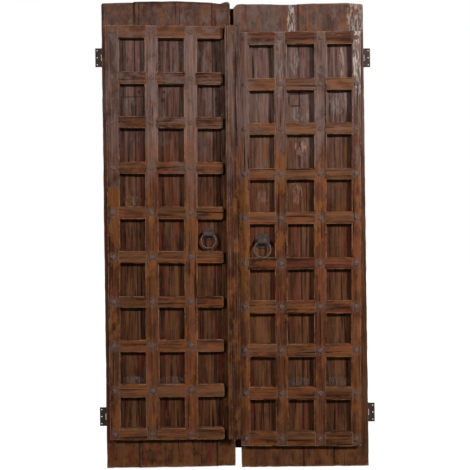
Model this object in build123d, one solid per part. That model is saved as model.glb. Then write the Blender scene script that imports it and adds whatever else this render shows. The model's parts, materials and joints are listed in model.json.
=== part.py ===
from build123d import *
from math import cos, pi, sin
import os

# A pair of old wooden door leaves, planked at the back and faced with a square lattice.
# Millimetres. X runs to the right as seen from the front, the front faces -Y, and +Z is up.
# The origin is on the floor under the meeting edges, in the plane of the planks' front faces.

# Driving sizes of the leaves
LEAF_EDGE = 591.0
PLANK_T = 28.0
LATTICE_T = 28.0
PLANK_GAP = 0.8
LEFT_MEETING = -9.0
RIGHT_MEETING_TOP = 4.5
RIGHT_MEETING_FOOT = 16.0
LEFT_FOOT_OUTER = 5.0
LEFT_FOOT_INNER = 8.0
RIGHT_FOOT_INNER = 1.0
RIGHT_FOOT_OUTER = 0.0
LEFT_PLANK_JOINTS = (-441.0, -92.0)
RIGHT_PLANK_JOINTS = (297.0,)

# Worn top edges, as (x, z) corners from the left end to the right one
LEFT_TOP = (
    (-LEAF_EDGE, 2092.0),
    (9.0 - LEAF_EDGE, 2101.0),
    (-430.0, 2105.0),
    (-274.0, 2106.0),
    (-81.0, 2096.0),
    (-54.0, 2092.0),
    (-28.0, 2100.0),
    (-16.0, 2100.0),
    (-9.0, 2093.0),
)
RIGHT_TOP = (
    (4.5, 2073.0),
    (20.0, 2087.0),
    (45.0, 2090.0),
    (118.0, 2089.0),
    (243.0, 2084.0),
    (369.0, 2088.0),
    (LEAF_EDGE - 69.0, 2088.0),
    (LEAF_EDGE - 8.0, 2082.0),
    (LEAF_EDGE, 2074.0),
)

# Lattice heights where the uprights are set out
LATTICE_HIGH = 1985.0
LATTICE_LOW = 140.0

# Rail heights on the middle column of each leaf, top rail first, and each rail's width
LEFT_RAIL_Z = (1957.0, 1750.6, 1552.9, 1351.2, 1150.5, 953.7, 753.8, 558.3, 358.9, 166.0)
LEFT_RAIL_W = (58.0, 57.0, 54.0, 56.0, 59.0, 56.0, 52.0, 57.0, 60.0, 54.0)
RIGHT_RAIL_Z = (1922.4, 1717.2, 1518.2, 1316.5, 1121.1, 918.5, 724.8, 530.3, 339.3, 136.3)
RIGHT_RAIL_W = (60.0, 57.0, 54.0, 54.0, 57.0, 55.0, 61.0, 61.0, 60.0, 66.0)
# Each rail falls to the right by a slope that changes evenly from the top rail to the foot rail
LEFT_RAIL_FALL = (0.026, 0.002)
RIGHT_RAIL_FALL = (0.002, 0.015)
LEFT_RAIL_PIVOT = -286.0
RIGHT_RAIL_PIVOT = 292.0

# Uprights: (left edge high, right edge high, left edge low, right edge low)
LEFT_STILE = tuple(inset - LEAF_EDGE for inset in (23.0, 87.3, 22.0, 70.0))
LEFT_BATTENS = ((-392.4, -332.8, -409.0, -346.6), (-217.5, -156.5, -236.0, -174.4))
LEFT_LEDGE = (-54.4, -9.0, -65.3, -9.0)
LEFT_RAIL_END = (-42.0, -57.0)
RIGHT_MEETING_EDGE_HIGH = 75.1
RIGHT_MEETING_EDGE_LOW = 58.2
RIGHT_BATTENS = ((183.0, 243.2, 170.2, 227.8), (364.6, 422.8, 339.7, 395.7))
RIGHT_STILE = tuple(LEAF_EDGE - inset for inset in (58.0, 17.5, 85.6, 38.3))

# Lattice joinery
TONGUE_T = 8.0
MITRE_NECK = 5.0
CHAMFER = 6.0
CHAMFER_STOP = 9.0
RAIL_END_CLIP = 9.0

# Meeting edges
LEDGE_T = 16.0
CORE_LEFT = -34.0
LAP_CLEARANCE = 2.0
ASTRAGAL_TOP = 1977.0
ASTRAGAL_FOOT = 145.0
ASTRAGAL_LEFT = (-36.6, -39.4)
ASTRAGAL_RIGHT = (34.4, 15.0)
ASTRAGAL_T = 22.0
BEAD_W = 10.0
GROOVE_W = 4.5
GROOVE_DEPTH = 3.5
ASTRAGAL_ROUND = 4.0
STRIP_TOP = 2080.0
STRIP_FOOT = 80.0
STRIP_LEFT = -26.0
STRIP_RIGHT = 46.0
STRIP_T = 22.0
STRIP_CLEARANCE = 0.8
STRIP_CHAMFER = 4.0

# Nail heads
NAIL_HEAD = 24.0
NAIL_RISE = 5.0
NAIL_FACETS = 6
NAIL_ASTRAGAL_GAP = 6.5

# Ring pulls: (x, z) of the eye, outer radii of ring, back plate and eye, and the ring's lean in degrees
LEFT_PULL = (-118.8, 1055.4, 36.7, 29.0, 12.6, 0.0)
RIGHT_PULL = (121.5, 1020.0, 40.5, 36.0, 14.6, 9.5)
RING_WIRE_R = 3.7
RING_WIRE_FLATS = 8
RING_FACETS = 24
RING_CLEARANCE = 0.4
EYE_WIDTH = 40.0
EYE_WALL = 2.6
EYE_END_DROP = 1.4
EYE_FLATS = 16
PULL_PLATE_T = 3.0
PULL_PLATE_FLATS = 20
STEM_W = 16.0
STEM_T = 8.0
STEM_OVERLAP = 2.0
STEM_CLEARANCE = 0.4
CLENCH_REACH = 26.0
CLENCH_T = 3.0

# Butt hinges
HINGE_LENGTH = 85.0
HINGE_PLATE_W = 32.0
HINGE_PLATE_T = 2.5
HINGE_PIN_R = 2.8
HINGE_BORE_CLEARANCE = 0.05
KNUCKLE_R = 5.5
KNUCKLE_FLATS = 12
KNUCKLE_COUNT = 3
KNUCKLE_GAP = 0.4
HINGE_AXIS_OUT = 2.0
HINGE_HOLE_R = 2.4
HINGE_HOLE_PITCH = 32.0
HINGE_HOLE_EDGE = 8.5
PIN_HEAD_R = 4.4
PIN_HEAD_T = 2.0
SCREW_HEAD_R = 4.2
SCREW_HEAD_T = 1.4
SCREW_SIDES = 6
# Heights of the middles of the upper and the lower hinge
HINGE_Z = {"left": (1863.0, 230.0), "right": (1847.0, 235.0)}

FRONT = -LATTICE_T
BACK = PLANK_T
LEAF_TOP = max(z for x, z in LEFT_TOP + RIGHT_TOP)
HALF_LAP = FRONT + LATTICE_T / 2
TONGUE_BACK = FRONT + TONGUE_T
CORE_FRONT = FRONT - LAP_CLEARANCE
HINGE_AXIS_X = LEAF_EDGE + HINGE_AXIS_OUT
HINGE_AXIS_Y = BACK + KNUCKLE_R

os.makedirs("parts", exist_ok=True)


def save(name, solids):
    """Write one sub-part; a group of like solids goes in as one compound."""
    shape = Compound(children=list(solids)) if isinstance(solids, list) else solids
    export_step(shape, f"parts/{name}.step")


def slab(points, y_front, y_back):
    """A flat board whose front outline is a closed run of (x, z) points."""
    outline = Polyline(*[(x, y_front, z) for x, z in points], close=True)
    return extrude(make_face(outline), amount=y_back - y_front, dir=(0, 1, 0))


def one_solid(shape):
    """The single solid of a boolean result."""
    solids = shape.solids()
    assert len(solids) == 1, len(solids)
    return solids[0]


class EdgeLine:
    """A nearly upright or nearly level edge of a lattice member, in the front view."""

    def __init__(self, start, end):
        self.start = start
        self.end = end

    def x_at(self, z):
        share = (z - self.start[1]) / (self.end[1] - self.start[1])
        return self.start[0] + share * (self.end[0] - self.start[0])

    def z_at(self, x):
        share = (x - self.start[0]) / (self.end[0] - self.start[0])
        return self.start[1] + share * (self.end[1] - self.start[1])

    def cross(self, other):
        """The point where this upright edge meets a level edge."""
        z = other.z_at(self.start[0])
        for _ in range(4):
            x = self.x_at(z)
            z = other.z_at(x)
        return (x, z)


class Upright:
    def __init__(self, left_high, right_high, left_low, right_low):
        self.left = EdgeLine((left_low, LATTICE_LOW), (left_high, LATTICE_HIGH))
        self.right = EdgeLine((right_low, LATTICE_LOW), (right_high, LATTICE_HIGH))


class Rail:
    def __init__(self, z_mid, width, fall, pivot):
        reach = LEAF_EDGE
        low = z_mid - width / 2
        high = z_mid + width / 2
        self.bottom = EdgeLine((pivot - reach, low + fall * reach), (pivot + reach, low - fall * reach))
        self.top = EdgeLine((pivot - reach, high + fall * reach), (pivot + reach, high - fall * reach))


class Crossing:
    """The four corners and the middle of the patch where an upright meets a rail."""

    def __init__(self, upright, rail):
        self.top_left = upright.left.cross(rail.top)
        self.top_right = upright.right.cross(rail.top)
        self.low_right = upright.right.cross(rail.bottom)
        self.low_left = upright.left.cross(rail.bottom)
        corners = (self.top_left, self.top_right, self.low_right, self.low_left)
        self.patch = list(corners)
        self.middle = (sum(p[0] for p in corners) / 4, sum(p[1] for p in corners) / 4)

    def near_middle(self, corner):
        """The point on a corner's mitre line where the rail's neck begins."""
        across, up = corner[0] - self.middle[0], corner[1] - self.middle[1]
        share = MITRE_NECK / (across**2 + up**2) ** 0.5
        return (self.middle[0] + across * share, self.middle[1] + up * share)

    def tongue(self, left, right):
        """An upright's tongue, mitred from two corners of the patch to the rail's neck."""
        return [left, right, self.near_middle(right), self.near_middle(left)]

    def upright_tongues(self, kind, row, last_row):
        """Front-layer pieces that belong to the upright; the rest belongs to the rail."""
        if kind == "stile_left":
            return [[self.top_right, self.top_left, self.low_left, self.low_right, self.middle]]
        if kind == "stile_right":
            return [[self.top_left, self.top_right, self.low_right, self.low_left, self.middle]]
        upper = self.tongue(self.top_left, self.top_right)
        lower = self.tongue(self.low_left, self.low_right)
        if row == 0:
            return [lower]
        if row == last_row:
            return [upper]
        return [upper, lower]


def chamfer_cutter(start, end, inward):
    """A stopped chamfer along a front edge; inward is the (x, z) way into the member's face."""
    edge = Vector(end[0] - start[0], 0, end[1] - start[1])
    length = edge.length
    along = edge.normalized()
    into = Vector(inward[0], 0, inward[1])
    base = Vector(start[0], FRONT, start[1])
    on_face = base + into * CHAMFER
    on_side = base + Vector(0, CHAMFER, 0)
    near = CHAMFER_STOP
    far = length - CHAMFER_STOP
    corners = [
        on_side + along * near,
        on_side + along * far,
        on_face + along * (far - CHAMFER),
        on_face + along * (near + CHAMFER),
    ]
    facet = make_face(Polyline(*corners, close=True))
    outward = (Vector(0, -1, 0) - into).normalized()
    return extrude(facet, amount=CHAMFER, dir=tuple(outward))


class Lattice:
    """One leaf's lattice: uprights and rails half-lapped and mitred at every crossing."""

    def __init__(self, uprights, kinds, rails):
        self.uprights = uprights
        self.kinds = kinds
        self.rails = rails
        self.last_row = len(rails) - 1
        self.crossings = [[Crossing(u, r) for r in rails] for u in uprights]

    def build_upright(self, index):
        upright = self.uprights[index]
        kind = self.kinds[index]
        top, foot = self.rails[0].top, self.rails[-1].bottom
        outline = [
            upright.left.cross(top),
            upright.right.cross(top),
            upright.right.cross(foot),
            upright.left.cross(foot),
        ]
        board = slab(outline, FRONT, 0)
        laps = [slab(c.patch, FRONT, HALF_LAP) for c in self.crossings[index]]
        board = board - laps
        tongues = []
        for row, crossing in enumerate(self.crossings[index]):
            for piece in crossing.upright_tongues(kind, row, self.last_row):
                tongues.append(slab(piece, FRONT, TONGUE_BACK))
        board = board + tongues
        cutters = []
        for row in range(self.last_row):
            above, below = self.crossings[index][row], self.crossings[index][row + 1]
            if kind != "stile_left":
                cutters.append(chamfer_cutter(below.top_left, above.low_left, (1, 0)))
            if kind != "stile_right":
                cutters.append(chamfer_cutter(below.top_right, above.low_right, (-1, 0)))
        return one_solid(board - cutters)

    def build_rail(self, row, left_edge, right_edge, ledge_edge=None):
        """One rail; its right end laps over a ledge, where there is one, from the ledge's edge on."""
        rail = self.rails[row]
        outline = [
            left_edge.cross(rail.top),
            right_edge.cross(rail.top),
            right_edge.cross(rail.bottom),
            left_edge.cross(rail.bottom),
        ]
        board = slab(outline, FRONT, 0)
        cuts = []
        bays = []
        for index, kind in enumerate(self.kinds):
            crossing = self.crossings[index][row]
            cuts.append(slab(crossing.patch, HALF_LAP, 0))
            for piece in crossing.upright_tongues(kind, row, self.last_row):
                cuts.append(slab(piece, FRONT, TONGUE_BACK))
            if index > 0:
                before = self.crossings[index - 1][row]
                bays.append((before.top_right, crossing.top_left, before.low_right, crossing.low_left))
        if ledge_edge:
            ends = board.edges().filter_by(Axis.Y).sort_by(Axis.X)[-2:]
            board = chamfer(ends, RAIL_END_CLIP)
            ledge_foot, ledge_top = ledge_edge.x_at(0), ledge_edge.x_at(LEAF_TOP)
            ledge = [(ledge_foot, 0), (ledge_top, LEAF_TOP), (0, LEAF_TOP), (0, 0)]
            cuts.append(slab(ledge, -LEDGE_T, 0))
            last = self.crossings[-1][row]
            over_top, over_low = ledge_edge.cross(rail.top), ledge_edge.cross(rail.bottom)
            bays.append((last.top_right, over_top, last.low_right, over_low))
        for top_from, top_to, low_from, low_to in bays:
            if row > 0:
                cuts.append(chamfer_cutter(top_from, top_to, (0, -1)))
            if row < self.last_row:
                cuts.append(chamfer_cutter(low_from, low_to, (0, 1)))
        return one_solid(board - cuts)

    def nail_heads(self, astragal_edge=None):
        """A nail at the middle of every crossing, or just clear of the closed astragal's edge."""
        heads = []
        for crossing in [crossing for column in self.crossings for crossing in column]:
            x, z = crossing.middle
            if astragal_edge:
                x = max(x, astragal_edge.x_at(z) + NAIL_ASTRAGAL_GAP + NAIL_HEAD / 2)
            heads.append(nail_head(x, z))
        return heads


def nail_head(x, z):
    """A hand-forged rose head, hammered to a low pyramid and seated on the lattice."""
    plane = Plane(origin=(x, FRONT, z), x_dir=(1, 0, 0), z_dir=(0, -1, 0))
    rim = plane * RegularPolygon(NAIL_HEAD / 2, NAIL_FACETS)
    return one_solid(loft([rim.faces()[0], Vertex(x, FRONT - NAIL_RISE, z)], ruled=True))


def make_rails(heights, widths, fall, pivot):
    """Rails whose slopes change evenly from the first to the last."""
    steps = len(heights) - 1
    slopes = [fall[0] + (fall[1] - fall[0]) * i / steps for i in range(steps + 1)]
    return [Rail(z, w, s, pivot) for z, w, s in zip(heights, widths, slopes)]


def build_planks(joints, foot_left, foot_right, top_points):
    """Boards side by side, cut from one leaf outline with a worn top edge."""
    planks = [slab([*top_points, foot_right, foot_left], 0, PLANK_T)]
    for joint in joints:
        kerf = Pos(joint, PLANK_T / 2, LEAF_TOP / 2) * Box(PLANK_GAP, 2 * PLANK_T, 2 * LEAF_TOP)
        planks = [piece for plank in planks for piece in (plank - kerf).solids()]
    return sorted(planks, key=lambda plank: plank.center().X)


def stem_hole(pull):
    """The square mortise that a ring pull's strap goes through."""
    x, z = pull[0], pull[1]
    width = STEM_W + 2 * STEM_CLEARANCE
    height = STEM_T + 2 * STEM_CLEARANCE
    return Pos(x, 0, z) * Box(width, 4 * PLANK_T, height)


def eye_axis_y(pull):
    return -(PULL_PLATE_T + pull[4])


def build_pull_plate(pull):
    """A round back plate, cut out with straight snips."""
    x, z, radius = pull[0], pull[1], pull[3]
    front = Plane(origin=(x, 0, z), z_dir=(0, -1, 0))
    disc = extrude(front * RegularPolygon(radius, PULL_PLATE_FLATS), amount=PULL_PLATE_T)
    return one_solid(disc - stem_hole(pull))


def build_eye(pull):
    """A strap rolled into a wide eye; its two tails go through the leaf and are clenched."""
    x, z, eye_r = pull[0], pull[1], pull[4]
    half = EYE_WIDTH / 2
    ends = [Plane(origin=(end, 0, 0), z_dir=(1, 0, 0)) for end in (-half, 0, half)]
    radii = (eye_r - EYE_END_DROP, eye_r, eye_r - EYE_END_DROP)
    rims = [(plane * RegularPolygon(r, EYE_FLATS)).faces()[0] for plane, r in zip(ends, radii)]
    bore = RegularPolygon(eye_r - EYE_WALL, EYE_FLATS, major_radius=False)
    barrel = loft(rims, ruled=True) - extrude(ends[1] * bore, amount=half, both=True)
    y_axis = eye_axis_y(pull)
    tail_from = y_axis + eye_r - STEM_OVERLAP
    tail_to = BACK + CLENCH_T
    tail = Pos(0, (tail_from + tail_to) / 2, 0) * Box(STEM_W, tail_to - tail_from, STEM_T)
    clench = Pos(0, BACK + CLENCH_T / 2, 0) * Box(STEM_W, CLENCH_T, 2 * CLENCH_REACH)
    return one_solid(Pos(x, 0, z) * (Pos(0, y_axis, 0) * barrel + tail + clench))


def build_ring(pull):
    """A forged ring lying on the bottom of its eye's bore, leaning out by the pull's lean."""
    x, z, outer_r, _, eye_r, lean = pull
    centre_r = outer_r - RING_WIRE_R
    half = EYE_WIDTH / 2
    drop_at_end = centre_r - (centre_r**2 - half**2) ** 0.5
    wire_at_end = RING_WIRE_R * centre_r / (centre_r**2 - half**2) ** 0.5
    lowest = -(eye_r - EYE_WALL - RING_CLEARANCE - wire_at_end)
    centre_z = lowest + drop_at_end - centre_r
    turns = [2 * pi * step / RING_FACETS for step in range(RING_FACETS)]
    path = Polyline(*[(centre_r * sin(turn), 0, centre_r * cos(turn)) for turn in turns], close=True)
    wire = Plane(origin=path @ 0, z_dir=path % 0) * RegularPolygon(RING_WIRE_R, RING_WIRE_FLATS)
    ring = sweep(wire, path=path, transition=Transition.RIGHT)
    return Pos(x, eye_axis_y(pull), z) * Rot(-lean, 0, 0) * Pos(0, 0, centre_z) * one_solid(ring)


def knuckle_span(index):
    """The height range of one knuckle, from the middle of the hinge."""
    pitch = (HINGE_LENGTH + KNUCKLE_GAP) / KNUCKLE_COUNT
    low = -HINGE_LENGTH / 2 + index * pitch
    return low, low + pitch - KNUCKLE_GAP


def hinge_rod(radius, height, across_flats=False):
    """An upright rod with flats, centred on the hinge axis; the radius is to its corners or its flats."""
    section = RegularPolygon(radius, KNUCKLE_FLATS, major_radius=not across_flats)
    return extrude(Plane.XY * section, amount=height / 2, both=True)


def build_hinge_plate(side, knuckles, holes):
    """A plate rolled round the pin; side is +1 or -1, the way it reaches from the axis along X."""
    plate_y = -KNUCKLE_R + HINGE_PLATE_T / 2
    plate = Pos(side * HINGE_PLATE_W / 2, plate_y, 0) * Box(HINGE_PLATE_W, HINGE_PLATE_T, HINGE_LENGTH)
    relief = KNUCKLE_R + KNUCKLE_GAP
    shape = plate
    for index in range(KNUCKLE_COUNT):
        low, high = knuckle_span(index)
        middle, height = (low + high) / 2, high - low
        if index in knuckles:
            shape += Pos(0, 0, middle) * hinge_rod(KNUCKLE_R, height)
        else:
            shape -= Pos(0, 0, middle) * Box(2 * relief, 2 * relief, height + 2 * KNUCKLE_GAP)
    shape -= hinge_rod(HINGE_PIN_R + HINGE_BORE_CLEARANCE, 2 * HINGE_LENGTH, across_flats=True)
    if holes:
        hole_x = side * (HINGE_PLATE_W - HINGE_HOLE_EDGE)
        for step in (-1, 0, 1):
            hole = Pos(hole_x, plate_y, step * HINGE_HOLE_PITCH) * Rot(90, 0, 0)
            shape -= hole * Cylinder(HINGE_HOLE_R, 4 * HINGE_PLATE_T)
    return one_solid(shape)


def build_hinge_pin():
    shank = hinge_rod(HINGE_PIN_R, HINGE_LENGTH)
    head = Pos(0, 0, HINGE_LENGTH / 2 + PIN_HEAD_T / 2) * hinge_rod(PIN_HEAD_R, PIN_HEAD_T)
    return one_solid(shank + head)


def build_screw_heads(side):
    """Three low screw heads on a leaf-side plate."""
    head_x = side * (HINGE_PLATE_W - HINGE_HOLE_EDGE)
    seat_y = -KNUCKLE_R + HINGE_PLATE_T
    heads = []
    for step in (-1, 0, 1):
        plane = Plane(origin=(head_x, seat_y, step * HINGE_HOLE_PITCH), z_dir=(0, 1, 0))
        heads.append(extrude(plane * RegularPolygon(SCREW_HEAD_R, SCREW_SIDES), amount=SCREW_HEAD_T))
    return heads


def groove_cutter(start, end):
    """A V groove along the astragal's front face, from (x, z) to (x, z)."""
    face_y = CORE_FRONT - ASTRAGAL_T
    x, z = start
    section = Polyline(
        (x - GROOVE_W / 2, face_y, z),
        (x + GROOVE_W / 2, face_y, z),
        (x, face_y + GROOVE_DEPTH, z),
        close=True,
    )
    path = Vector(end[0] - start[0], 0, end[1] - start[1])
    return extrude(make_face(section), amount=path.length, dir=tuple(path.normalized()))


def build_astragal():
    """The tapering cover moulding of the left leaf, with two beads at its left and one at its right."""
    left_top, left_foot = ASTRAGAL_LEFT
    right_top, right_foot = ASTRAGAL_RIGHT
    outline = [
        (left_top, ASTRAGAL_TOP),
        (right_top, ASTRAGAL_TOP),
        (right_foot, ASTRAGAL_FOOT),
        (left_foot, ASTRAGAL_FOOT),
    ]
    board = slab(outline, CORE_FRONT - ASTRAGAL_T, CORE_FRONT)
    front_face = board.faces().sort_by(Axis.Y)[0]
    long_edges = front_face.edges().sort_by(SortBy.LENGTH)[-2:]
    board = fillet(long_edges, ASTRAGAL_ROUND)
    grooves = []
    for offset in (BEAD_W, 2 * BEAD_W):
        grooves.append(((left_foot + offset, ASTRAGAL_FOOT), (left_top + offset, ASTRAGAL_TOP)))
    grooves.append(((right_foot - BEAD_W, ASTRAGAL_FOOT), (right_top - BEAD_W, ASTRAGAL_TOP)))
    return one_solid(board - [groove_cutter(start, end) for start, end in grooves])


def build_left_meeting_stile(rails):
    """A board with a low ledge that the rails lap over and a raised core that carries the astragal."""
    top, foot = rails[0].top, rails[-1].bottom
    ledge = Upright(*LEFT_LEDGE)
    low_part = slab(
        [
            ledge.left.cross(top),
            ledge.right.cross(top),
            ledge.right.cross(foot),
            ledge.left.cross(foot),
        ],
        -LEDGE_T,
        0,
    )
    core = slab(
        [
            (CORE_LEFT, ASTRAGAL_TOP),
            (LEFT_MEETING, ASTRAGAL_TOP),
            (LEFT_MEETING, ASTRAGAL_FOOT),
            (CORE_LEFT, ASTRAGAL_FOOT),
        ],
        CORE_FRONT,
        0,
    )
    return one_solid(low_part + core)


def build_rear_strip():
    """The right leaf's rear cover strip; it laps behind the left leaf with a small clearance."""
    depth = Pos((STRIP_LEFT + STRIP_RIGHT) / 2, BACK + STRIP_T / 2, (STRIP_TOP + STRIP_FOOT) / 2)
    strip = depth * Box(STRIP_RIGHT - STRIP_LEFT, STRIP_T, STRIP_TOP - STRIP_FOOT)
    rear_edges = strip.faces().sort_by(Axis.Y)[-1].edges().filter_by(Axis.Z)
    strip = chamfer(rear_edges, STRIP_CHAMFER)
    lap_to = RIGHT_MEETING_TOP - LAP_CLEARANCE
    relief_outline = [(STRIP_LEFT, 0), (lap_to, 0), (lap_to, STRIP_TOP), (STRIP_LEFT, STRIP_TOP)]
    relief = slab(relief_outline, 0, BACK + STRIP_CLEARANCE)
    return one_solid(strip - relief)


def write_leaf(side, planks, lattice, rail_ends, ledge_edge, pull, upright_names, astragal_edge):
    """Write the boards, lattice, nails and ring pull of one leaf."""
    hole = stem_hole(pull)
    for number, plank in enumerate(planks, start=1):
        bored = plank - hole if abs(plank.center().X - pull[0]) < plank.bounding_box().size.X / 2 else plank
        save(f"plank_{side}_{number}", one_solid(bored))
    for index, name in enumerate(upright_names):
        save(name, lattice.build_upright(index))
    for row in range(len(lattice.rails)):
        rail = lattice.build_rail(row, rail_ends[0], rail_ends[1], ledge_edge)
        save(f"rail_{side}_{row + 1}", rail)
    save(f"nail_heads_{side}", lattice.nail_heads(astragal_edge))
    save(f"pull_plate_{side}", build_pull_plate(pull))
    save(f"pull_eye_{side}", build_eye(pull))
    save(f"pull_ring_{side}", build_ring(pull))


def write_left_leaf():
    rails = make_rails(LEFT_RAIL_Z, LEFT_RAIL_W, LEFT_RAIL_FALL, LEFT_RAIL_PIVOT)
    uprights = [Upright(*edges) for edges in (LEFT_STILE,) + LEFT_BATTENS]
    lattice = Lattice(uprights, ["stile_left", "batten", "batten"], rails)
    planks = build_planks(
        LEFT_PLANK_JOINTS, (-LEAF_EDGE, LEFT_FOOT_OUTER), (LEFT_MEETING, LEFT_FOOT_INNER), LEFT_TOP
    )
    rail_end = EdgeLine((LEFT_RAIL_END[1], LATTICE_LOW), (LEFT_RAIL_END[0], LATTICE_HIGH))
    ledge_edge = Upright(*LEFT_LEDGE).left
    names = ["stile_left", "batten_left_1", "batten_left_2"]
    write_leaf("left", planks, lattice, (uprights[0].left, rail_end), ledge_edge, LEFT_PULL, names, None)
    save("meeting_stile_left", build_left_meeting_stile(rails))
    save("astragal", build_astragal())


def write_right_leaf():
    rails = make_rails(RIGHT_RAIL_Z, RIGHT_RAIL_W, RIGHT_RAIL_FALL, RIGHT_RAIL_PIVOT)
    meeting_edge = EdgeLine((RIGHT_MEETING_FOOT, 0), (RIGHT_MEETING_TOP, RIGHT_TOP[0][1]))
    meeting = (
        meeting_edge.x_at(LATTICE_HIGH),
        RIGHT_MEETING_EDGE_HIGH,
        meeting_edge.x_at(LATTICE_LOW),
        RIGHT_MEETING_EDGE_LOW,
    )
    uprights = [Upright(*edges) for edges in (meeting,) + RIGHT_BATTENS + (RIGHT_STILE,)]
    lattice = Lattice(uprights, ["stile_left", "batten", "batten", "stile_right"], rails)
    planks = build_planks(
        RIGHT_PLANK_JOINTS, (RIGHT_MEETING_FOOT, RIGHT_FOOT_INNER), (LEAF_EDGE, RIGHT_FOOT_OUTER), RIGHT_TOP
    )
    names = ["meeting_stile_right", "batten_right_1", "batten_right_2", "stile_right"]
    rail_ends = (uprights[0].left, uprights[-1].right)
    astragal_edge = EdgeLine((ASTRAGAL_RIGHT[1], ASTRAGAL_FOOT), (ASTRAGAL_RIGHT[0], ASTRAGAL_TOP))
    write_leaf("right", planks, lattice, rail_ends, None, RIGHT_PULL, names, astragal_edge)
    save("rear_strip", build_rear_strip())


def write_hinges():
    """Each leaf's two hinges; like pieces of one leaf share a node."""
    for side, into_leaf in (("left", 1), ("right", -1)):
        axis_x = -into_leaf * HINGE_AXIS_X
        places = [Pos(axis_x, HINGE_AXIS_Y, z) for z in HINGE_Z[side]]
        save(f"hinge_frame_plates_{side}", [p * build_hinge_plate(-into_leaf, (0, 2), True) for p in places])
        save(f"hinge_leaf_plates_{side}", [p * build_hinge_plate(into_leaf, (1,), False) for p in places])
        save(f"hinge_pins_{side}", [p * build_hinge_pin() for p in places])
        heads = build_screw_heads(into_leaf)
        save(f"hinge_screws_{side}", [p * head for p in places for head in heads])


write_left_leaf()
write_right_leaf()
write_hinges()
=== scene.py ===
import json
import math
import random
from collections import namedtuple

import bmesh
import bpy
from mathutils import Matrix, Vector, kdtree, noise


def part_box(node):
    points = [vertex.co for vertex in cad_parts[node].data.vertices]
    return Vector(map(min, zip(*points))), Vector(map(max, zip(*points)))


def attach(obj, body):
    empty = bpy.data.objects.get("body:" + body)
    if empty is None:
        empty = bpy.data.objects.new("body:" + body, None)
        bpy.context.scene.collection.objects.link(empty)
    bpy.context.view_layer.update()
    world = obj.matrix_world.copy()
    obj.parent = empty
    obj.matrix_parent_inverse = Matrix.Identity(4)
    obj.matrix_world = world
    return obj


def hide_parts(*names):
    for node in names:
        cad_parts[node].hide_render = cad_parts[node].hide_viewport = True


# Old lattice door leaves: worn timber, forged iron pulls and plain butt hinges.
# Metres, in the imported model's own frame.

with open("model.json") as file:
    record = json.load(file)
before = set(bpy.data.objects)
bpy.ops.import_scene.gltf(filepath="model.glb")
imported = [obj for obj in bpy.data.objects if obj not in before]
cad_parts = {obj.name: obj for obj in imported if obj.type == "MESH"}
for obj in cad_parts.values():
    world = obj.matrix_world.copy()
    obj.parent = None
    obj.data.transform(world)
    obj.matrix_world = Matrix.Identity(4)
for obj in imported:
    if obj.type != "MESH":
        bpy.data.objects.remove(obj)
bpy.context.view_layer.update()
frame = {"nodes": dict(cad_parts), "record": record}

NODES = frame["nodes"]
BODY_OF = {
    node: body
    for body, members in frame["record"]["behaviour"]["bodies"].items()
    for node in members
}
SIDES = ("left", "right")
GRAIN_UP = "up"
GRAIN_ALONG_X = "along_x"


# Shader helpers

EVEN = (1, 1, 1)
NO_SHIFT = (0, 0, 0)
SPOT_FULL = 0.75
SPOT_EDGE = 1.1
SPOT_FRONT = 0.006
SPOT_BACK = 0.012

# A noise, and the values of it between which its share goes from 0 to 1. The stretch is a share
# along the grain, or a fixed one in x, y and z.
Layer = namedtuple(
    "Layer", "scale detail roughness stretch shift low high strength distortion", defaults=(0, 1, 1, 0)
)
SPOT_RAGGED = Layer(55, 4, 0.55, EVEN, NO_SHIFT)


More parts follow.
